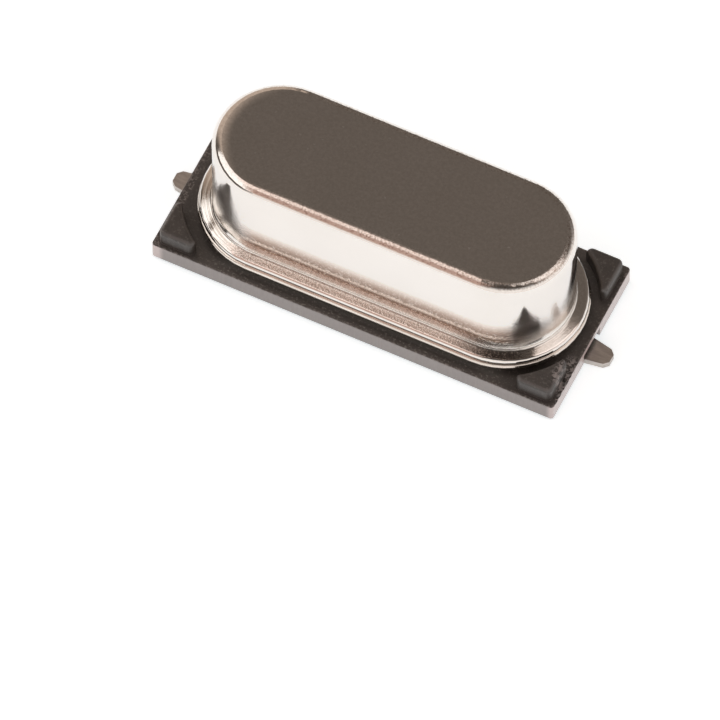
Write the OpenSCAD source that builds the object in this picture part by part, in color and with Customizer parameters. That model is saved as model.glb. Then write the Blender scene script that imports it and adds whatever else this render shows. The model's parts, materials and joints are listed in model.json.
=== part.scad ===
// Surface-mount crystal unit in the low-profile stadium-shaped metal package.
// A quartz strip hangs on two clips inside a drawn cover, which is welded to a metal header.
// The header's two wires pass through glass, then fold out flat under a moulded black base.
// Origin: under the middle of the metal can, on the board. +X runs along the length, +Z is up.

/* [Moulded base] */
// Length of the black base
base_l = 11.4; // [10.8:0.1:13.8]
// Width of the black base
base_w = 4.7; // [4.4:0.1:5.7]
// Thickness of the black base
base_t = 0.55; // [0.45:0.05:0.8]
// How far the base sits off the can's middle, along its length
base_off = -0.08; // [-0.08:0.01:0.08]
// Radius of the base's four upright corners
base_corner_r = 0.1; // [0.06:0.01:0.4]
// Radius along the base's top and bottom edges
base_edge_r = 0.03; // [0.01:0.01:0.05]
// Height of the four corner pads above the base
pad_h = 0.5; // [0.2:0.02:0.6]
// Length of a corner pad along X
pad_l = 1; // [0.6:0.02:1.2]
// Length of a corner pad along Y
pad_w = 1.1; // [0.7:0.02:1.3]
// Distance of a pad from the base's end
pad_inset_x = 0.14; // [0.06:0.01:0.2]
// Distance of a pad from the base's side
pad_inset_y = 0.12; // [0.06:0.01:0.2]
// Radius of a pad's upright corners
pad_corner_r = 0.16; // [0.14:0.01:0.3]
// Radius along a pad's top edges
pad_top_r = 0.12; // [0.04:0.01:0.14]
// Gap between the header's edge and the pads' curved sides
pad_gap = 0.3; // [0.1:0.01:0.4]
// Gap between a lead's foot and each side of its slot
slot_gap = 0.12; // [0.12:0.01:0.15]
// Plastic left above the lead slots
slot_web = 0.17; // [0.1:0.01:0.25]
// Gap round a wire where it passes through the base
hole_gap = 0.12; // [0.05:0.01:0.2]
// Diameter of the four ejector marks underneath
ejector_d = 1.12; // [0.6:0.02:1.2]
// Distance of the ejector marks' centres from the base's end
ejector_inset_x = 1.5; // [1.1:0.05:2]
// Distance of the ejector marks' centres from the base's side
ejector_inset_y = 0.95; // [0.8:0.05:1]
// Depth of the ejector marks
ejector_depth = 0.04; // [0.02:0.01:0.1]
// Diameter of the round recess in the middle of the underside
recess_d = 1.86; // [1:0.02:2.4]
// Depth of the round recess
recess_depth = 0.12; // [0.05:0.01:0.2]
// How far the recess's wall slopes in towards its floor
recess_draft = 0.12; // [0.02:0.01:0.2]
// How deep the chips are where the moulding gate was torn from the base's end
chip_depth = 0.05; // [0.02:0.01:0.08]
// Height of the ragged flake that the gate left on top
flake_h = 0.03; // [0.01:0.01:0.06]

/* [Metal cover] */
// Height of the cover, flange included
cover_h = 2.98; // [2.4:0.01:3.7]
// Sheet thickness of the cover
cover_wall = 0.2; // [0.15:0.01:0.22]
// Outer radius of the cover's top edge
rim_r = 0.25; // [0.23:0.01:0.4]
// Radius where the wall meets the flange
foot_r = 0.07; // [0.04:0.01:0.12]
// Thickness of the cover's flange
flange_t = 0.16; // [0.12:0.01:0.2]
// How far the flange stands out from the wall at each end
flange_end = 0.35; // [0.25:0.01:0.5]
// How far the flange stands out from the wall at each side
flange_side = 0.32; // [0.25:0.01:0.4]

/* [Header] */
// How far the base shows past the header at each end
margin_end = 0.335; // [0.2:0.005:0.35]
// How far the base shows past the header at each side
margin_side = 0.19; // [0.15:0.01:0.3]
// Thickness of the header's flange
header_t = 0.18; // [0.12:0.01:0.3]
// How far the header's flange shows beyond the cover's
header_lip = 0.04; // [0:0.01:0.08]
// Height of the raised middle that plugs the cover's mouth
island_h = 0.35; // [0.2:0.01:0.5]
// Gap between the raised middle and the cover's wall
island_gap = 0.05; // [0.02:0.01:0.1]
// Radius of the raised middle's top edge
island_r = 0.05; // [0.02:0.01:0.1]
// Depth of the boss that the header stands on
boss_h = 0.24; // [0.04:0.01:0.3]
// Width of the step between the boss and the header's edge
boss_step = 0.5; // [0.4:0.01:0.7]
// Diameter of the glass seals
seal_d = 1.3; // [0.9:0.02:1.6]
// Radius of the glass that climbs each wire
meniscus_r = 0.1; // [0.04:0.01:0.12]

/* [Leads] */
// Diameter of the lead wire
wire_d = 0.43; // [0.35:0.01:0.5]
// Distance between the two wires
pitch = 4.88; // [4.4:0.02:5.4]
// Width of the flattened foot
foot_w = 0.72; // [0.6:0.02:0.9]
// Thickness of the flattened foot
foot_t = 0.2; // [0.15:0.01:0.25]
// How far the left foot reaches past the base's end
reach_left = 0.46; // [0.3:0.01:0.8]
// How far the right foot reaches past the base's end
reach_right = 0.61; // [0.3:0.01:0.8]
// How far the left foot stands off its slot's middle, from being turned about its wire
lean_left = 0.03; // [-0.09:0.01:0.09]
// How far the right foot stands off its slot's middle
lean_right = -0.09; // [-0.09:0.01:0.09]
// Length of the foot's tapered tip
tip_l = 0.74; // [0.3:0.02:0.9]
// Width of the foot's blunt end
tip_w = 0.5; // [0.3:0.02:0.6]
// Outer radius of the bend from wire to foot
heel_r = 0.3; // [0.25:0.01:0.36]
// How far the feet stand proud of the base's underside
standoff = 0.05; // [0.02:0.01:0.1]
// Height of the wires above the header's raised middle
post_h = 0.55; // [0.4:0.05:0.8]

/* [Resonator] */
// Gap between the clips and the cover's end walls
clip_room = 0.595; // [0.3:0.005:0.8]
// Gap between the quartz strip's long edges and the cover's walls
blank_room = 0.6; // [0.4:0.05:0.7]
// Thickness of the quartz strip
blank_t = 0.17; // [0.1:0.01:0.3]
// Quartz left bare between the electrodes' fields and the strip's ends
bare_end = 1.7; // [1.2:0.1:2.2]
// Quartz left bare along each side of the electrodes' fields
bare_side = 0.25; // [0.1:0.05:0.3]
// Width of the electrode tabs at the strip's ends
tab_w = 0.9; // [0.8:0.05:1]
// Thickness of the electrode film
film_t = 0.02; // [0.01:0.005:0.03]
// Width of the mounting clips
clip_w = 1; // [0.7:0.05:1.2]
// Thickness of the mounting clips
clip_t = 0.1; // [0.06:0.01:0.15]
// Height of the step in each clip
clip_rise = 0.22; // [0.12:0.01:0.3]
// Length of a clip's seat under the strip
seat_l = 0.6; // [0.4:0.05:0.8]
// Gap between the strip's end and the clip's upright
end_gap = 0.06; // [0.02:0.01:0.12]
// Height of the clip's upright above its seat
upright_h = 0.34; // [0.2:0.02:0.5]
// Radius of the adhesive beads
bead_r = 0.4; // [0.3:0.02:0.4]

/* [Hidden] */
$fn = 96;

// Cuts run past the faces that they open by this much
past = 0.1;

// Heights, from the board up
base_z = standoff;
deck_z = base_z + base_t;
header_z = deck_z + boss_h;
weld_z = header_z + header_t;
island_z = weld_z + island_h;
post_z = island_z + post_h;
seat_z = post_z + clip_t + clip_rise;
blank_z = seat_z + film_t;
slot_z = deck_z - slot_web;

// Half outlines, from the header in to the cover's wall: radius of the end arcs, then how far
// the arcs' centres lie from the middle
header_r = base_w / 2 - margin_side;
flange_r = header_r - header_lip;
wall_r = flange_r - flange_side;
inner_r = wall_r - cover_wall;
flange_c = base_l / 2 - margin_end - header_r;
wall_c = flange_c + flange_side - flange_end;
pad_arc_r = header_r + pad_gap;

// Plan of the leads and clips, measured outwards from each wire's centre
wire_r = wire_d / 2;
lead_x = pitch / 2;
foot_flat = 0.06;
foot_corner_r = (foot_w - foot_flat) / 2;
tip_bevel = tip_w / 4;
clip_end = wall_c + inner_r - clip_room - lead_x;
blank_end = clip_end - clip_t - end_gap - film_t;
step_end = blank_end - seat_l;
step_start = step_end - clip_rise;
clip_pad_r = clip_w / 2;
bead_inset = bead_r / 3;

// Sizes of the quartz strip and its electrodes' fields
blank_l = 2 * (lead_x + blank_end);
blank_w = 2 * (inner_r - blank_room);
electrode_l = blank_l - 2 * bare_end;
electrode_w = blank_w - 2 * bare_side;

black = [0.13, 0.12, 0.12];
cover_metal = [0.78, 0.76, 0.73];
header_metal = [0.66, 0.63, 0.58];
tinned = [0.62, 0.59, 0.54];
glass = [0.35, 0.5, 0.45, 0.8];
spring_metal = [0.8, 0.76, 0.66];
quartz = [0.86, 0.89, 0.92, 0.75];
silver_film = [0.88, 0.88, 0.9];
silver_paste = [0.7, 0.7, 0.72];

// ---- Building blocks ----

// Places its children at both leads: as drawn at +X, and turned half round at -X
module at_side(side) {
    rotate([0, 0, side == "right" ? 0 : 180])
        translate([lead_x, 0, 0])
            children();
}

// Sweeps half a section round a stadium; the section is drawn from the middle line outwards
module stadium(c) {
    for (turn = [0, 180])
        rotate([0, 0, turn])
            translate([c, 0, 0])
                rotate([0, 0, -90])
                    rotate_extrude(angle = 180)
                        children();
    rotate([90, 0, 90])
        linear_extrude(2 * c, center = true)
            for (m = [0, 1])
                mirror([m, 0])
                    children();
}

// Sweeps an edge section round a plate of thickness t with upright corners of radius c
module slab(l, w, t, c) {
    long = l - 2 * c;
    cross = w - 2 * c;
    for (sx = [-1, 1], sy = [-1, 1])
        translate([sx * long / 2, sy * cross / 2, 0])
            rotate([0, 0, sy > 0 ? (sx > 0 ? 0 : 90) : (sx > 0 ? 270 : 180)])
                rotate_extrude(angle = 90)
                    children();
    for (m = [0, 1])
        mirror([m, 0, 0])
            translate([long / 2, 0, 0])
                rotate([90, 0, 0])
                    linear_extrude(cross, center = true)
                        children();
    rotate([90, 0, 90])
        linear_extrude(long, center = true)
            for (m = [0, 1])
                mirror([m, 0]) {
                    square([cross / 2, t]);
                    translate([cross / 2, 0])
                        children();
                }
}

// Rectangle from the origin with its outer top corner rounded
module round_top(w, h, r) {
    square([w - r, h]);
    square([w, h - r]);
    translate([w - r, h - r])
        intersection() {
            circle(r);
            square(r);
        }
}

// Plate section with a full round outer edge
module round_edge(w, t) {
    square([w - t / 2, t]);
    translate([w - t / 2, t / 2])
        circle(t / 2);
}

// Concave corner that fills the angle between a wall and a floor
module fillet(r) {
    difference() {
        square(r);
        translate([r, r])
            circle(r);
    }
}

// Stands a side view, drawn outwards and up, upright across the width w
module side_view(w) {
    rotate([90, 0, 0])
        linear_extrude(w, center = true)
            children();
}

// ---- Moulded base ----

module base_edge() {
    e = base_edge_r;
    square([base_corner_r - e, base_t]);
    translate([0, e])
        square([base_corner_r, base_t - 2 * e]);
    for (z = [e, base_t - e])
        translate([base_corner_r - e, z])
            circle(e);
}

// One pad in the +X +Y corner: a rounded block with the header's end arc cut from it
module corner_pad() {
    foot = base_edge_r;
    difference() {
        translate([
            base_l / 2 - pad_inset_x - pad_l / 2,
            base_w / 2 - pad_inset_y - pad_w / 2,
            deck_z - foot
        ])
            slab(pad_l, pad_w, pad_h + foot, pad_corner_r)
                round_top(pad_corner_r, pad_h + foot, pad_top_r);
        translate([flange_c, 0, deck_z - foot - past])
            rotate_extrude() {
                square([pad_arc_r, pad_h + foot + 2 * past]);
                translate([pad_arc_r, pad_h + foot + past])
                    mirror([0, 1])
                        fillet(pad_top_r);
                translate([pad_arc_r, pad_h + foot + past])
                    square([pad_top_r, past]);
            }
    }
}

// Chips along the +X end's top edge, each a small block turned across the edge.
// Rows give the distance from the pad's outer side, the length and the turn of each chip
module gate_chips() {
    chips = [[0.12, 0.14, 20], [0.33, 0.2, -25], [0.55, 0.12, 35], [0.72, 0.22, 12], [0.98, 0.16, -30]];
    size = chip_depth * sqrt(2);
    for (chip = chips)
        translate([base_l / 2, chip[0] + pad_inset_y - base_w / 2, deck_z])
            rotate([0, 45, chip[2]])
                cube([size, chip[1], size], center = true);
}

// The ragged flake beside the pad, as an outline from the base's +X -Y corner
module gate_flake() {
    edge = base_edge_r;
    translate([base_l / 2, -base_w / 2, deck_z - edge])
        linear_extrude(flake_h + edge)
            polygon([
                [-0.42, 1.42], [-0.34, 1.46], [-0.22, 1.24], [-0.24, 1.16], [-0.1, 1.08],
                [-edge, 0.98], [-edge, 0.8], [-0.1, 0.92], [-0.13, 1.02], [-0.26, 1.04]
            ]);
}

// Slot for one lead: round at its inner end, open at the base's end
module lead_slot() {
    slot_w = foot_w + 2 * slot_gap;
    translate([slot_w / 2 - wire_r - slot_gap, 0, base_z - past]) {
        cylinder(h = slot_z - base_z + past, d = slot_w);
        translate([0, -slot_w / 2, 0])
            cube([base_l, slot_w, slot_z - base_z + past]);
    }
    translate([0, 0, base_z])
        cylinder(h = base_t + past, r = wire_r + hole_gap);
}

module underside_marks() {
    for (sx = [-1, 1], sy = [-1, 1])
        translate([
            sx * (base_l / 2 - ejector_inset_x),
            sy * (base_w / 2 - ejector_inset_y),
            base_z - past
        ])
            cylinder(h = past + ejector_depth, d = ejector_d);
    slope = recess_draft / recess_depth;
    translate([0, 0, base_z - past])
        cylinder(h = past + recess_depth, d1 = recess_d + 2 * slope * past, d2 = recess_d - 2 * recess_draft);
}

module insulator_base() {
    color(black)
        translate([base_off, 0, 0])
            difference() {
                union() {
                    translate([0, 0, base_z])
                        slab(base_l, base_w, base_t, base_corner_r)
                            base_edge();
                    for (mx = [0, 1], my = [0, 1])
                        mirror([mx, 0, 0])
                            mirror([0, my, 0])
                                corner_pad();
                    gate_flake();
                }
                for (side = ["left", "right"])
                    at_side(side)
                        lead_slot();
                underside_marks();
                gate_chips();
            }
}

// ---- Header and its glass ----

module header_plate() {
    color(header_metal)
        difference() {
            union() {
                translate([0, 0, header_z])
                    stadium(flange_c)
                        round_edge(header_r, header_t);
                translate([0, 0, deck_z])
                    stadium(flange_c)
                        square([header_r - boss_step, boss_h + header_t / 2]);
                translate([0, 0, header_z + header_t / 2])
                    stadium(wall_c)
                        round_top(inner_r - island_gap, island_h + header_t / 2, island_r);
            }
            for (side = ["left", "right"])
                at_side(side)
                    translate([0, 0, deck_z - past])
                        cylinder(h = island_z - deck_z + 2 * past, d = seal_d);
        }
}

module glass_seal(side) {
    color(glass)
        at_side(side)
            translate([0, 0, deck_z])
                rotate_extrude() {
                    translate([wire_r, 0])
                        square([seal_d / 2 - wire_r, island_z - deck_z]);
                    translate([wire_r, island_z - deck_z])
                        fillet(meniscus_r);
                }
}

// ---- Cover ----

// The drawn cup: flat top, rolled top edge, flange turned out at its mouth
module cover() {
    color(cover_metal)
        translate([0, 0, weld_z])
            difference() {
                union() {
                    stadium(wall_c)
                        round_top(wall_r, cover_h, rim_r);
                    stadium(flange_c)
                        round_edge(flange_r, flange_t);
                    stadium(wall_c)
                        translate([wall_r, flange_t])
                            fillet(foot_r);
                }
                stadium(wall_c) {
                    translate([0, -past])
                        round_top(inner_r, cover_h - cover_wall + past, rim_r - cover_wall);
                    translate([inner_r, 0])
                        fillet(foot_r);
                }
            }
}

// ---- Leads ----

// Side view of the foot: the wire turns out of its bend into a flat ribbon
module foot_side(foot_end) {
    heel_x = heel_r - wire_r;
    translate([heel_x, 0])
        square([foot_end - heel_x, foot_t]);
    intersection() {
        translate([heel_x, heel_r])
            circle(heel_r);
        translate([-wire_r, 0])
            square(heel_r);
    }
    translate([heel_x - foot_t / 2, foot_t])
        square([wire_r + foot_t / 2 - heel_x, heel_r - foot_t]);
    translate([wire_r, foot_t])
        fillet(heel_r - foot_t);
}

// Plan of the foot: rounded under the wire, tapered to a blunt tip
module foot_plan(foot_end) {
    r = foot_corner_r;
    for (y = [r - foot_w / 2, foot_w / 2 - r])
        translate([r - wire_r, y])
            circle(r);
    translate([-wire_r, -foot_flat / 2])
        square([2 * r, foot_flat]);
    translate([r - wire_r, -foot_w / 2])
        square([foot_end - tip_l - r + wire_r, foot_w]);
    polygon([
        [foot_end - tip_l, -foot_w / 2],
        [foot_end - tip_bevel, -tip_w / 2],
        [foot_end, tip_bevel - tip_w / 2],
        [foot_end, tip_w / 2 - tip_bevel],
        [foot_end - tip_bevel, tip_w / 2],
        [foot_end - tip_l, foot_w / 2]
    ]);
}

module lead(side) {
    base_end = base_l / 2 - lead_x + (side == "right" ? base_off : -base_off);
    foot_end = base_end + (side == "right" ? reach_right : reach_left);
    turn = asin((side == "right" ? lean_right : lean_left) / base_end);
    color(tinned)
        at_side(side) {
            rotate([0, 0, turn])
                intersection() {
                    side_view(foot_w)
                        foot_side(foot_end);
                    linear_extrude(heel_r)
                        foot_plan(foot_end);
                }
            translate([0, 0, heel_r])
                cylinder(h = post_z - heel_r, r = wire_r);
        }
}

// ---- Quartz strip and what holds it ----

// Side view of a clip: welded flat on the wire, stepped up to the seat, turned up at the end
module clip_side() {
    translate([-clip_pad_r, 0])
        square([clip_pad_r + step_start, clip_t]);
    polygon([
        [step_start, 0],
        [step_end, clip_rise],
        [step_end, clip_rise + clip_t],
        [step_start, clip_t]
    ]);
    translate([step_end, clip_rise])
        square([clip_end - step_end, clip_t]);
    translate([clip_end - clip_t, clip_rise])
        square([clip_t, clip_t + upright_h]);
}

module clip_plan() {
    circle(clip_pad_r);
    translate([0, -clip_w / 2])
        square([clip_end, clip_w]);
}

module mounting_clip(side) {
    color(spring_metal)
        at_side(side)
            translate([0, 0, post_z])
                intersection() {
                    side_view(clip_w)
                        clip_side();
                    linear_extrude(clip_rise + clip_t + upright_h)
                        clip_plan();
                }
}

module quartz_blank() {
    color(quartz)
        translate([-blank_l / 2, -blank_w / 2, blank_z])
            cube([blank_l, blank_w, blank_t]);
}

// One electrode: a field over the middle, and a tab that wraps round one end of the strip.
// Drawn for the top face, with its tab at -X
module electrode() {
    strip_end = -blank_l / 2;
    translate([-electrode_l / 2, -electrode_w / 2, blank_t])
        cube([electrode_l, electrode_w, film_t]);
    translate([strip_end - film_t, -tab_w / 2, blank_t])
        cube([film_t - strip_end - electrode_l / 2, tab_w, film_t]);
    translate([strip_end - film_t, -tab_w / 2, -film_t])
        cube([film_t, tab_w, blank_t + 2 * film_t]);
    translate([strip_end - film_t, -tab_w / 2, -film_t])
        cube([seat_l + film_t, tab_w, film_t]);
}

module electrode_top() {
    color(silver_film)
        translate([0, 0, blank_z])
            electrode();
}

module electrode_bottom() {
    color(silver_film)
        translate([0, 0, blank_z + blank_t])
            rotate([0, 180, 0])
                electrode();
}

// Bead of conductive paste over the strip's end, filling what the other pieces leave
module adhesive(side) {
    color(silver_paste)
        difference() {
            at_side(side)
                intersection() {
                    translate([blank_end - bead_inset, 0, seat_z])
                        sphere(bead_r);
                    translate([0, -bead_r, seat_z])
                        cube([clip_end - clip_t, 2 * bead_r, bead_r]);
                }
            quartz_blank();
            electrode_top();
            electrode_bottom();
        }
}

insulator_base();
header_plate();
cover();
glass_seal("left");  // glass_seal_left
glass_seal("right");  // glass_seal_right
lead("left");  // lead_left
lead("right");  // lead_right
mounting_clip("left");  // mounting_clip_left
mounting_clip("right");  // mounting_clip_right
quartz_blank();
electrode_top();
electrode_bottom();
adhesive("left");  // adhesive_left
adhesive("right");  // adhesive_right
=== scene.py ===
"""Looks for a surface-mount crystal oscillator: materials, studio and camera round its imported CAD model."""

import json
import math

import bpy
from mathutils import Matrix, Vector


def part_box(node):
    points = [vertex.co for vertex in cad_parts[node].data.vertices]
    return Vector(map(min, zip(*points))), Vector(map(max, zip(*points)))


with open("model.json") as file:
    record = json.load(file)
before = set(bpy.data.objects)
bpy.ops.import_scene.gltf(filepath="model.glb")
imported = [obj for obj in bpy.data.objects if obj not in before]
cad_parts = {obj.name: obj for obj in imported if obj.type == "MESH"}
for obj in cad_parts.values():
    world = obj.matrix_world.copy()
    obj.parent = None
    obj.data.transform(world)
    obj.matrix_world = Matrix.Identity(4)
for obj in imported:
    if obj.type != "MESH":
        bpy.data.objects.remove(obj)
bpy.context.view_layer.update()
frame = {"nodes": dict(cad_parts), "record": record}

MM = 0.001

# Camera: the photograph's viewing angle. The origin, at the height of the base's underside, lies right of
# and above the camera's axis
AZIMUTH = 25.44
ELEVATION = 58.42
ROLL = 0.29
DISTANCE = 398.2 * MM
LENS = 775.7
ORIGIN_RIGHT = 0.866 * MM
ORIGIN_UP = 2.351 * MM

# The studio floor's half width in metres, its paper's colour, and the glow that reflections see in it, which
# is a little stronger to the camera
FLOOR_HALF = 0.6
PAPER = (0.86, 0.855, 0.85)
PAPER_GLOW = (0.93, 1, 1.03)
PAPER_GLOW_STRENGTH = 0.57
CAMERA_GLOW = 1.1

# The softboxes' colour where they fade out
WARM_EDGE = (0.9, 0.68, 0.55)


def box_mm(node):
    """A node's lowest and highest corners in millimetres."""
    return [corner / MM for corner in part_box(node)]


cover_low, cover_high = box_mm("cover")
base_low, base_high = box_mm("insulator_base")
header_low = box_mm("header_plate")[0]

# The can's shape in millimetres: its top, its flange's top, the wall's distance from the line that joins the
# end arcs' centres, and half that line. The last two are given, because the flange's round ends are faceted
# and the node's box stops short of them
FLANGE_THICK = 0.16
COVER_TOP = cover_high.z
FLANGE_TOP = cover_low.z + FLANGE_THICK
COVER_OUT = 1.8
COVER_ARC_X = 3.175

# How far the flange is pitted beyond the wall, and how far inside the wall the top starts to fall away
PITTED_WIDTH = 0.25
SHOULDER = 0.62

# The base's shape in millimetres. BASE_END is its right end: the left one stands further from the origin
BASE_END = base_high.x
BASE_SIDE = base_high.y
DECK_TOP = header_low.z

# A painted reflection low on the long walls, standing in for the shadowed floor and the base mirrored there:
# its height in millimetres, and colours at shares of that height
REFLECTION_BAND_HEIGHT = 1.25
REFLECTION_BAND_COLOURS = [
    (0.0, (0.85, 0.8, 0.76)),
    (0.26, (0.9, 0.86, 0.82)),
    (0.33, (0.62, 0.49, 0.4)),
    (0.38, (0.24, 0.15, 0.11)),
    (0.42, (0.3, 0.2, 0.15)),
    (0.46, (0.66, 0.53, 0.45)),
    (0.5, (0.66, 0.53, 0.45)),
    (0.56, (0.34, 0.24, 0.19)),
    (0.67, (0.46, 0.34, 0.28)),
    (0.76, (0.6, 0.49, 0.42)),
    (0.87, (0.76, 0.68, 0.62)),
    (0.99, (0.9, 0.86, 0.82)),
]


# ---- Node helpers ----

class Nodes:
    """Adds shader nodes to a tree and links them. An input is a number, a colour or a node's output."""

    def __init__(self, tree):
        self.tree = tree
        tree.nodes.clear()

    def add(self, kind, inputs=None, **settings):
        node = self.tree.nodes.new(kind)
        for name, value in settings.items():
            setattr(node, name, value)
        for name, value in (inputs or {}).items():
            self.put(node.inputs[name], value)
        return node

    def put(self, socket, value):
        if isinstance(value, bpy.types.NodeSocket):
            self.tree.links.new(value, socket)
        elif socket.type == "RGBA":
            socket.default_value = (*value, 1)
        else:
            socket.default_value = value

    def math(self, operation, a, b=0.0, c=0.0):
        return self.add("ShaderNodeMath", {0: a, 1: b, 2: c}, operation=operation).outputs[0]

    def ramp(self, value, low, high, to_low=0.0, to_high=1.0):
        """to_low below low and to_high above high, with a smooth step between them."""
        node = self.add(
            "ShaderNodeMapRange",
            {"Value": value, "From Min": low, "From Max": high, "To Min": to_low, "To Max": to_high},
            interpolation_type="SMOOTHSTEP",
        )
        return node.outputs["Result"]

    def fall(self, value, low, high):
        """1 below low and 0 above high."""
        return self.ramp(value, low, high, 1.0, 0.0)

    def ends(self, x, left, right):
        """One number left of the object's middle and another right of it."""
        return self.ramp(x, -1.0, 1.0, left, right)

    def mix(self, factor, a, b):
        node = self.add("ShaderNodeMix", data_type="RGBA")
        self.put(node.inputs[0], factor)
        self.put(node.inputs[6], a)
        self.put(node.inputs[7], b)
        return node.outputs[2]

    def layers(self, colour, *coats):
        """Lays each coat, given as its amount and its colour, over what is below it."""
        for amount, coat in coats:
            colour = self.mix(amount, colour, coat)
        return colour

    def place(self, stretch=(1, 1, 1)):
        """Object coordinates in millimetres, stretched."""
        coordinates = self.add("ShaderNodeTexCoord").outputs["Object"]
        scale = tuple(s / MM for s in stretch)
        return self.add("ShaderNodeMapping", {"Vector": coordinates, "Scale": scale}).outputs[0]

    def noise(self, scale, detail=2.0, rough=0.5, where=None, distortion=0.0):
        """Noise with about scale features to a millimetre."""
        node = self.add(
            "ShaderNodeTexNoise",
            {
                "Vector": where or self.place(),
                "Scale": scale,
                "Detail": detail,
                "Roughness": rough,
                "Distortion": distortion,
            },
        )
        return node.outputs["Fac"]

    def cells(self, scale):
        """Distance to the nearest of some random points, with about scale points to a millimetre."""
        node = self.add("ShaderNodeTexVoronoi", {"Vector": self.place(), "Scale": scale})
        return node.outputs["Distance"]

    def times(self, *values):
        total = values[0]
        for value in values[1:]:
            total = self.math("MULTIPLY", total, value)
        return total

    def plus(self, *values):
        total = values[0]
        for value in values[1:]:
            total = self.math("ADD", total, value)
        return total

    def minus(self, a, b):
        return self.math("SUBTRACT", a, b)

    def line(self, value, slope, start):
        """A straight line: start where the value is 0, and slope more for each 1."""
        return self.math("MULTIPLY_ADD", value, slope, start)

    def away(self, value):
        """How far a value is from 0."""
        return self.math("ABSOLUTE", value)

    def axes(self):
        """Object coordinates X, Y and Z in millimetres."""
        return self.add("ShaderNodeSeparateXYZ", {0: self.place()}).outputs

    def upward(self):
        """Z of the surface's own normal: 1 on a top face, 0 on a side, -1 underneath."""
        normal = self.add("ShaderNodeTexCoord").outputs["Normal"]
        return self.add("ShaderNodeSeparateXYZ", {0: normal}).outputs["Z"]

    def out_from_middle(self, x, y, half_line):
        """Distance in millimetres from the line that joins the end arcs' centres."""
        beyond = self.math("MAXIMUM", self.minus(self.away(x), half_line), 0.0)
        return self.math("SQRT", self.plus(self.times(beyond, beyond), self.times(y, y)))

    def bump(self, height, depth=1.0, strength=1.0, normal=None):
        """Bump of the given depth in millimetres, or of a height that is in millimetres itself."""
        node = self.add("ShaderNodeBump", {"Height": height, "Strength": strength, "Distance": depth * MM})
        if normal is not None:
            self.put(node.inputs["Normal"], normal)
        return node.outputs[0]


def material(name):
    made = bpy.data.materials.new(name)
    made.use_nodes = True
    return made, Nodes(made.node_tree)


def finish_surface(n, **inputs):
    """Ends a material in one Principled shader. Names use _ for a space."""
    shader = n.add("ShaderNodeBsdfPrincipled", {k.replace("_", " "): v for k, v in inputs.items()})
    n.add("ShaderNodeOutputMaterial", {"Surface": shader.outputs[0]})


# ---- Materials ----

def drawn_metal(name, colour, dark, roughness, grain_depth):
    """Plated sheet: fine grain, faint waviness, and specks where the plating is duller."""
    made, n = material(name)
    grain = n.noise(22, 3, 0.6)
    waves = n.noise(0.7, 1, 0.4)
    specks = n.ramp(n.noise(14, 2, 0.5), 0.62, 0.74)
    patches = n.noise(0.45, 3, 0.55)
    tint = n.mix(n.ramp(patches, 0.3, 0.7, 0.0, 0.35), colour, dark)
    tint = n.mix(n.times(specks, 0.35), tint, dark)
    rough = n.line(n.noise(5, 3), 0.08, roughness - 0.04)
    rough = n.line(specks, 0.12, rough)
    normal = n.bump(waves, 0.002, 0.5)
    normal = n.bump(grain, grain_depth, 1.0, normal)
    finish_surface(n, Base_Color=tint, Metallic=1.0, Roughness=rough, Normal=normal)
    return made


class CanPlaces:
    """Places on the can in millimetres, what lies where from 0 to 1, and the noises its looks share."""

    def __init__(self, n):
        self.x, self.y, z = n.axes()
        self.out = n.out_from_middle(self.x, self.y, COVER_ARC_X)
        self.above = n.minus(z, FLANGE_TOP)
        self.pits = n.noise(17, 3, 0.7)
        # Fine outwards and long the other way, so that it runs round the can in rings
        ringed = n.add("ShaderNodeCombineXYZ", {0: n.times(self.out, 26), 1: self.x, 2: self.y}).outputs[0]
        self.rings = n.noise(1, 2, 0.6, ringed)

        self.top = n.ramp(z, COVER_TOP - 0.02, COVER_TOP - 0.01)
        self.rim = n.times(
            n.ramp(z, COVER_TOP - 0.09, COVER_TOP - 0.04),
            n.ramp(self.out, COVER_OUT - 0.33, COVER_OUT - 0.22),
            n.ramp(self.x, -3.8, -2.6, 0.3, 1.0),
        )
        self.mark_flange(n)
        self.mark_walls(n)

    def mark_flange(self, n):
        pitted_out = COVER_OUT + PITTED_WIDTH
        self.flange = n.fall(self.above, 0.02, 0.06)
        edge = n.times(self.flange, n.ramp(self.out, pitted_out - 0.02, pitted_out + 0.02))
        self.crease = n.times(
            self.flange,
            n.ramp(self.out, COVER_OUT, COVER_OUT + 0.02),
            n.fall(self.out, COVER_OUT + 0.04, COVER_OUT + 0.07),
        )
        self.left_end = n.fall(self.x, -4.3, -3.4)
        smooth_end = n.math("MAXIMUM", n.ramp(self.x, 4.1, 4.5), self.left_end)
        self.pitted = n.times(self.flange, n.minus(1.0, edge), n.line(smooth_end, -0.85, 1.0))

    def mark_walls(self, n):
        """The long walls' foot, and the end walls' dust, which reaches higher on the left."""
        x, above = self.x, self.above
        on_wall = n.ramp(above, 0.04, 0.09)
        self.straight = n.times(n.ramp(x, -3.9, -3.0), n.fall(x, 3.8, 4.7))
        self.low_wall = n.times(on_wall, n.fall(above, REFLECTION_BAND_HEIGHT - 0.1, REFLECTION_BAND_HEIGHT), self.straight)
        self.dusty = n.times(
            n.ramp(n.away(x), 2.9, 3.9),
            on_wall,
            n.ramp(above, n.ends(x, 0.8, 0.2), n.ends(x, 2.8, 2.2), 0.6, 0.0),
            n.ramp(above, 0.2, 1.2, n.ends(x, 0.3, 1.0), 1.0),
        )


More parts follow.
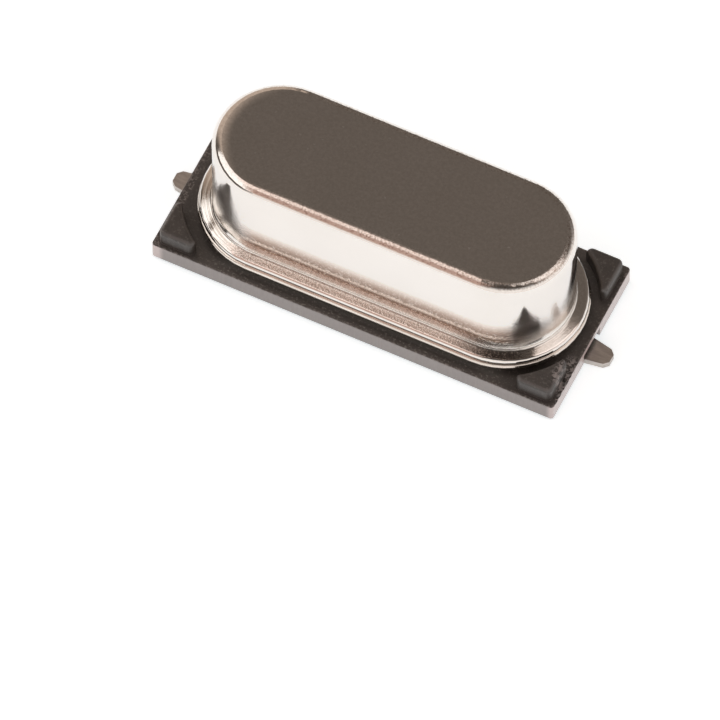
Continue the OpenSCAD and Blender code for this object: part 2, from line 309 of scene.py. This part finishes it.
def cover_relief(n, can):
    """Heights in millimetres. The top falls a little to its rim, and the walls flare at the foot."""
    centred = n.minus(can.pits, 0.5)
    level_out = COVER_OUT - SHOULDER
    shoulder = n.math("MAXIMUM", n.math("MINIMUM", can.out, COVER_OUT), level_out)
    shoulder = n.minus(shoulder, level_out)
    foot = n.math("MAXIMUM", can.above, 0.08)
    flare = n.math("MAXIMUM", n.minus(n.line(can.straight, -0.1, 0.34), foot), 0.0)
    pit_depth = n.plus(n.times(can.rim, 0.004), n.times(can.pitted, 0.008), n.times(can.low_wall, 0.003))
    return n.plus(
        n.times(shoulder, shoulder, -0.1),
        n.times(n.noise(0.8, 1, 0.4), 0.004),
        n.times(centred, pit_depth),
        n.times(centred, can.dusty, 0.01),
        # The flange's left end faces a little forwards
        n.times(n.plus(can.y, 0.9), can.flange, n.fall(can.x, -4.7, -4.3), 0.07),
        n.times(can.rings, can.flange, n.line(can.left_end, 0.003, 0.002)),
        n.times(flare, flare, 1.1),
        # The flange slopes down outwards, more at its left end
        n.times(n.minus(can.out, COVER_OUT), can.flange, n.line(can.left_end, -0.13, -0.12)),
    )


def painted_reflection_band(n, height):
    """The painted reflection's colour at a height over the flange."""
    band = n.add("ShaderNodeValToRGB", {"Fac": n.math("DIVIDE", height, REFLECTION_BAND_HEIGHT)})
    points = band.color_ramp.elements
    while len(points) < len(REFLECTION_BAND_COLOURS):
        points.new(0.5)
    for point, (position, colour) in zip(points, REFLECTION_BAND_COLOURS):
        point.position = position
        point.color = (*colour, 1)
    return band.outputs["Color"]


def cover_tint(n, can):
    """The can's colour: clean plating, with its marks, a painted reflection band and painted shade laid over
    it one by one.
    """
    streaks = n.noise(1, 3, 0.6, n.place(stretch=(15, 15, 2.5)))
    ragged = n.plus(can.above, n.times(streaks, 0.05), n.times(n.minus(can.pits, 0.5), 0.25))
    mottle = n.ramp(n.noise(9, 3, 0.7), 0.35, 0.65, 0.0, 0.16)
    band_specks = n.times(
        can.low_wall,
        n.ramp(can.pits, 0.5, 0.62),
        n.ramp(can.above, 0.15, 0.5, 0.15, 0.45),
        n.fall(can.above, 0.6, 1.1),
    )
    soot = n.times(can.pitted, n.ramp(can.x, 2.2, 3.6), n.ramp(can.pits, 0.35, 0.55, 0.6, 1.0))
    return n.layers(
        n.mix(n.ramp(n.noise(0.5, 3, 0.55), 0.3, 0.7), (0.9, 0.865, 0.835), (0.87, 0.835, 0.8)),
        (n.ramp(n.noise(15, 3, 0.7), 0.35, 0.65, 0.0, 0.14), (0.5, 0.45, 0.41)),
        (n.times(can.top, mottle), (0.3, 0.27, 0.24)),
        (n.times(can.rim, n.ramp(can.pits, 0.5, 0.6), 0.6), (0.45, 0.35, 0.3)),
        # The low wall: its painted reflection band, then pale streaks, dark specks and pale specks
        (can.low_wall, painted_reflection_band(n, ragged)),
        (n.times(can.low_wall, n.ramp(streaks, 0.55, 0.8, 0.0, 0.25)), (0.9, 0.86, 0.82)),
        (band_specks, (0.22, 0.15, 0.11)),
        (n.times(can.low_wall, n.ramp(can.pits, 0.36, 0.46, 0.35, 0.0)), (0.95, 0.9, 0.85)),
        # The flange: bright with dark pits, painted shade in the crease at the wall, ringed at the left,
        # sooty at the right
        (n.times(can.pitted, 0.7), (0.98, 0.95, 0.92)),
        (n.times(can.pitted, n.ramp(can.pits, 0.5, 0.55, 0.0, 0.45)), (0.5, 0.44, 0.38)),
        # Painted shade in the crease where the wall meets the flange
        (n.times(can.crease, can.straight, 0.7), (0.4, 0.32, 0.27)),
        (n.times(can.flange, can.left_end, n.ramp(can.rings, 0.42, 0.58, 0.0, 0.7)), (0.52, 0.45, 0.39)),
        (soot, (0.12, 0.11, 0.1)),
        # The shadowed seam low on the flange's edge
        (n.times(can.flange, n.ramp(can.above, -0.09, -0.055, 0.95, 0.0)), (0.1, 0.08, 0.07)),
    )


def cover_metallic(n, can):
    """1 on clean metal, and less under the end walls' dust, its specks and the specks on the top."""
    specks = n.times(can.dusty, n.ramp(can.pits, 0.48, 0.58))
    top_specks = n.times(can.top, n.ramp(n.noise(9, 2, 0.5), 0.66, 0.76))
    metallic = n.line(can.dusty, n.ends(can.x, -0.16, -0.04), 1.0)
    metallic = n.line(specks, n.ends(can.x, -0.2, -0.08), metallic)
    return n.line(top_specks, -0.12, metallic)


def cover_sheet():
    """The drawn can: near-mirror walls, a finely pitted rim, a pitted flange and a painted reflection band
    over it.
    """
    made, n = material("cover_sheet")
    can = CanPlaces(n)
    rough = n.plus(
        0.07,
        n.times(can.rim, 0.04),
        n.times(can.pitted, 0.1),
        n.times(can.low_wall, 0.06),
        n.times(can.dusty, 0.14),
    )
    finish_surface(
        n,
        Base_Color=cover_tint(n, can),
        Metallic=cover_metallic(n, can),
        Roughness=rough,
        Normal=n.bump(cover_relief(n, can)),
    )
    return made


def tinned_wire():
    """Dull plating, drawn along the wire and scuffed through to a darker grey."""
    made, n = material("tinned_wire")
    streaks = n.noise(1, 4, 0.6, n.place(stretch=(2.5, 11, 11)))
    scuffs = n.ramp(n.noise(2.6, 4, 0.65, distortion=0.6), 0.52, 0.7)
    grain = n.noise(20, 2, 0.6)
    lumps = n.noise(1.6, 2)
    tint = n.mix(n.ramp(streaks, 0.3, 0.7), (0.47, 0.43, 0.4), (0.62, 0.57, 0.53))
    tint = n.mix(n.times(scuffs, 0.5), tint, (0.33, 0.29, 0.26))
    rough = n.line(scuffs, 0.12, 0.34)
    height = n.plus(n.times(streaks, 0.002), n.times(grain, 0.0012), n.times(lumps, 0.012))
    finish_surface(n, Base_Color=tint, Metallic=1.0, Roughness=rough, Normal=n.bump(height))
    return made


class BasePlaces:
    """What lies where on the base, from 0 to 1, and how far from the middle a point is along X."""

    def __init__(self, n):
        x, y, z = n.axes()
        self.far_x = n.away(x)
        far_y = n.away(y)
        upright = n.upward()
        self.side = n.times(n.fall(n.away(upright), 0.25, 0.6), n.fall(z, DECK_TOP, DECK_TOP + 0.02))
        # Most on top between the pads, less towards the ends and least underneath
        self.middle = n.times(n.ramp(self.far_x, 3.6, 4.4, 1.0, 0.4), n.ramp(upright, -0.2, 0.2, 0.3, 1.0))
        # Where the deck near the can gets painted light to lift its shade
        self.deck = n.times(self.middle, n.ramp(z, DECK_TOP + 0.02, DECK_TOP + 0.12, 0.45, 0.0))
        # Beside the can, under the header's lip, where the shadow gets painted light
        self.beside_can = n.times(n.fall(far_y, 2.08, 2.18), n.fall(self.far_x, 3.6, 4.2))
        # The pads' sloping edges, which carry a painted sheen
        self.pad_edge_sheen = n.times(
            n.ramp(upright, 0.35, 0.7),
            n.fall(upright, 0.85, 0.98),
            n.ramp(z, DECK_TOP + 0.02, DECK_TOP + 0.1),
        )
        self.rim = n.math(
            "MAXIMUM",
            n.ramp(far_y, BASE_SIDE - 0.08, BASE_SIDE - 0.01),
            n.ramp(self.far_x, BASE_END - 0.1, BASE_END - 0.02),
        )
        # The torn moulding gate at the front of the right end
        self.gate = n.times(
            n.ramp(x, 5.15, 5.4), n.ramp(y, -2.0, -1.7), n.fall(y, -0.9, -0.6), n.ramp(z, 0.4, 0.55)
        )


def black_moulding():
    """Grainy black compound with pale flecks, greyer and finely scored on its sawn sides, which also carry a
    painted reflection of the floor, with painted light on its shaded deck and a painted sheen on the pads'
    edges.
    """
    made, n = material("black_moulding")
    base = BasePlaces(n)
    grain = n.noise(16, 3, 0.7)
    lumps = n.noise(3, 3, 0.6)
    flecks = n.ramp(n.noise(15, 2, 0.6), 0.56, 0.66)
    chips = n.times(base.gate, n.ramp(n.noise(7, 3, 0.7), 0.48, 0.56))
    scores = n.noise(1, 3, 0.65, n.place(stretch=(14, 14, 1.2)))

    # The sides: a greyer sawn finish, partly real and partly painted reflection of the bright floor; the ends
    # almost white, a painted reflection
    sides_grey_and_reflection = n.mix(n.ramp(scores, 0.35, 0.65), (0.225, 0.19, 0.18), (0.24, 0.204, 0.195))
    sides_grey_and_reflection = n.mix(n.ramp(base.far_x, 5.4, 5.6, 0.0, 0.85), sides_grey_and_reflection, (0.78, 0.67, 0.67))
    tint = n.layers(
        n.mix(n.ramp(lumps, 0.3, 0.7), (0.032, 0.026, 0.022), (0.047, 0.038, 0.033)),
        # Painted light on the shaded deck
        (base.deck, (0.085, 0.072, 0.064)),
        # Painted light in the shadow beside the can
        (n.times(base.beside_can, 0.5), (0.17, 0.165, 0.155)),
        (n.times(flecks, base.middle, 0.5), (0.3, 0.27, 0.25)),
        (n.times(chips, 0.8), (0.4, 0.35, 0.34)),
        # Painted sheen on the pads' edges
        (n.times(base.pad_edge_sheen, 0.5), (0.12, 0.105, 0.1)),
        (n.times(base.rim, n.ramp(grain, 0.48, 0.6), 0.7), (0.3, 0.26, 0.25)),
        (base.side, sides_grey_and_reflection),
    )
    rough = n.line(grain, 0.25, n.line(base.side, -0.22, 0.28))
    height = n.plus(
        n.times(grain, n.line(base.side, -0.006, 0.009)),
        n.times(lumps, 0.006),
        n.times(chips, 0.03),
        n.times(scores, base.side, 0.001),
    )
    refraction = n.line(base.side, 0.5, 1.7)
    finish_surface(n, Base_Color=tint, Roughness=rough, IOR=refraction, Normal=n.bump(height))
    return made


def seal_glass():
    """Dark green glass with fine bubbles."""
    made, n = material("seal_glass")
    bubbles = n.ramp(n.cells(9), 0.0, 0.12)
    cloud = n.noise(3, 3)
    tint = n.mix(n.ramp(cloud, 0.3, 0.7), (0.03, 0.08, 0.065), (0.06, 0.13, 0.1))
    normal = n.bump(bubbles, 0.01, 0.4)
    rough = n.ramp(cloud, 0, 1, 0.05, 0.16)
    finish_surface(n, Base_Color=tint, Roughness=rough, IOR=1.52, Normal=normal)
    return made


def lapped_quartz():
    """Clear quartz with a fine matt face."""
    made, n = material("lapped_quartz")
    lapping = n.noise(35, 3, 0.6)
    cloud = n.noise(1.2, 2)
    tint = n.mix(n.ramp(cloud, 0.3, 0.7), (0.82, 0.86, 0.9), (0.9, 0.93, 0.95))
    rough = n.ramp(lapping, 0.3, 0.7, 0.25, 0.42)
    finish_surface(
        n, Base_Color=tint, Roughness=rough, IOR=1.54, Transmission_Weight=0.6, Normal=n.bump(lapping, 0.003)
    )
    return made


def silver_paste():
    """Lumpy grey adhesive full of silver flakes."""
    made, n = material("silver_paste")
    lumps = n.noise(8, 4, 0.6)
    flakes = n.cells(28)
    tint = n.mix(n.ramp(flakes, 0.1, 0.6), (0.55, 0.54, 0.52), (0.36, 0.35, 0.34))
    rough = n.ramp(lumps, 0.3, 0.7, 0.4, 0.6)
    normal = n.bump(flakes, 0.008, 0.6, n.bump(lumps, 0.03, 0.6))
    finish_surface(n, Base_Color=tint, Metallic=0.7, Roughness=rough, Normal=normal)
    return made


finishes = {
    "cover": cover_sheet(),
    "header": drawn_metal("header_metal", (0.86, 0.8, 0.74), (0.5, 0.42, 0.36), 0.2, 0.0015),
    "clip": drawn_metal("clip_metal", (0.74, 0.71, 0.66), (0.6, 0.57, 0.52), 0.22, 0.002),
    "electrode": drawn_metal("silver_film", (0.92, 0.91, 0.88), (0.8, 0.79, 0.77), 0.14, 0.001),
    "lead": tinned_wire(),
    "base": black_moulding(),
    "seal": seal_glass(),
    "quartz": lapped_quartz(),
    "adhesive": silver_paste(),
}
slot_of = {part["node"]: part["material_slot"] for part in frame["record"]["subparts"]}
for node, piece in frame["nodes"].items():
    for slot in piece.material_slots:
        slot.material = finishes[slot_of[node]]


# ---- Studio ----

def direction(azimuth, elevation):
    """Unit vector from the object: azimuth 0 is towards -Y, 90 towards +X."""
    a = math.radians(azimuth)
    e = math.radians(elevation)
    return Vector((math.sin(a) * math.cos(e), -math.cos(a) * math.cos(e), math.sin(e)))


def white_floor():
    """Pale paper that takes the object's shadow, and is brighter to the camera and in reflections."""
    corners = [(x * FLOOR_HALF, y * FLOOR_HALF, 0) for x, y in ((-1, -1), (1, -1), (1, 1), (-1, 1))]
    mesh = bpy.data.meshes.new("floor")
    mesh.from_pydata(corners, [], [(0, 1, 2, 3)])
    floor = bpy.data.objects.new("floor", mesh)
    bpy.context.scene.collection.objects.link(floor)
    made, n = material("white_floor")
    path = n.add("ShaderNodeLightPath").outputs
    seen = n.math("MAXIMUM", path["Is Glossy Ray"], path["Is Transmission Ray"])
    seen = n.math("MAXIMUM", seen, n.times(path["Is Camera Ray"], CAMERA_GLOW))
    paper = n.add("ShaderNodeBsdfDiffuse", {"Color": PAPER})
    glow = n.add("ShaderNodeEmission", {"Color": PAPER_GLOW, "Strength": n.times(seen, PAPER_GLOW_STRENGTH)})
    both = n.add("ShaderNodeAddShader", {0: paper.outputs[0], 1: glow.outputs[0]})
    n.add("ShaderNodeOutputMaterial", {"Surface": both.outputs[0]})
    floor.data.materials.append(made)


def pale_horizon(n, x, y, z):
    """1 near the horizon. It stands higher on the right than on the left, and is gone at the back."""
    top = n.times(n.ramp(x, -0.6, 0.1, 0.12, 0.66), n.ramp(y, 0.2, 0.6, 1.0, 0.6))
    soft = n.ramp(x, -0.5, 0.2, 0.07, 0.26)
    return n.times(n.fall(z, n.minus(top, soft), n.plus(top, soft)), n.fall(y, 0.6, 0.95))


def left_softbox(n, x, y, z):
    """A softbox's amount and colour."""
    box = n.times(
        n.fall(n.line(x, -0.646, y), 0.55, 0.61),
        n.fall(y, 0.28, 0.36),
        n.fall(x, -0.2, -0.08),
        n.ramp(z, 0.36, 0.46),
    )
    white = n.mix(n.ramp(x, -0.45, -0.28), (1.3, 1.25, 1.2), (1.15, 0.95, 0.86))
    return box, n.mix(box, WARM_EDGE, white)


def right_softbox(n, x, y, z):
    """A softbox's amount and colour. It is dimmer far to the right."""
    box = n.times(
        n.ramp(n.plus(x, y), 0.2, 0.3),
        n.ramp(x, -0.09, -0.03),
        n.fall(y, 0.4, 0.48),
        n.ramp(y, -0.15, 0.05),
        n.ramp(x, 0.45, 0.7, 1.0, 0.45),
        n.ramp(z, 0.42, 0.55),
    )
    return box, n.mix(box, WARM_EDGE, (1.15, 1.04, 0.98))


def studio_world():
    """A dim warm room with a pale horizon and a tall softbox on each side. The camera sees plain white."""
    world = bpy.data.worlds.new("studio")
    world.use_nodes = True
    bpy.context.scene.world = world
    n = Nodes(world.node_tree)
    # The direction looked in: right, back and up
    looked_in = n.add("ShaderNodeTexCoord").outputs["Generated"]
    x, y, z = n.add("ShaderNodeSeparateXYZ", {0: looked_in}).outputs

    back_left = n.times(n.fall(x, -0.42, -0.27), n.ramp(y, 0.1, 0.4))
    front_left = n.times(
        n.ramp(x, -0.42, -0.32), n.fall(x, -0.17, -0.03), n.fall(y, -0.36, -0.24), n.ramp(z, 0.41, 0.52)
    )
    room = n.layers(
        n.mix(n.ramp(y, -0.3, 0.45), (0.06, 0.05, 0.043), (0.14, 0.117, 0.1)),
        (back_left, (0.56, 0.45, 0.37)),
        (pale_horizon(n, x, y, z), (1.0, 0.94, 0.9)),
        left_softbox(n, x, y, z),
        right_softbox(n, x, y, z),
        (front_left, (0.52, 0.35, 0.29)),
    )

    camera = n.add("ShaderNodeLightPath").outputs["Is Camera Ray"]
    sky = n.add("ShaderNodeBackground", {"Color": n.mix(camera, room, (1, 1, 1)), "Strength": 1.0})
    n.add("ShaderNodeOutputWorld", {"Surface": sky.outputs[0]})


def photo_camera():
    """Looks along the photograph's line of sight, rolled by ROLL."""
    data = bpy.data.cameras.new("camera")
    data.lens = LENS
    data.sensor_width = 36
    data.clip_start = 0.01
    data.clip_end = 10
    camera = bpy.data.objects.new("camera", data)
    back = direction(AZIMUTH, ELEVATION)
    level = back.cross(Vector((0, 0, -1))).normalized()
    upright = back.cross(level)
    turn = math.radians(ROLL)
    right = level * math.cos(turn) + upright * math.sin(turn)
    up = upright * math.cos(turn) - level * math.sin(turn)
    aim = Vector((0, 0, base_low.z * MM)) - right * ORIGIN_RIGHT - up * ORIGIN_UP
    facing = Matrix((right, up, back)).transposed().to_4x4()
    camera.matrix_world = Matrix.Translation(aim + back * DISTANCE) @ facing
    bpy.context.scene.collection.objects.link(camera)
    bpy.context.scene.camera = camera


white_floor()
studio_world()
photo_camera()

bpy.context.scene.view_settings.view_transform = "Standard"
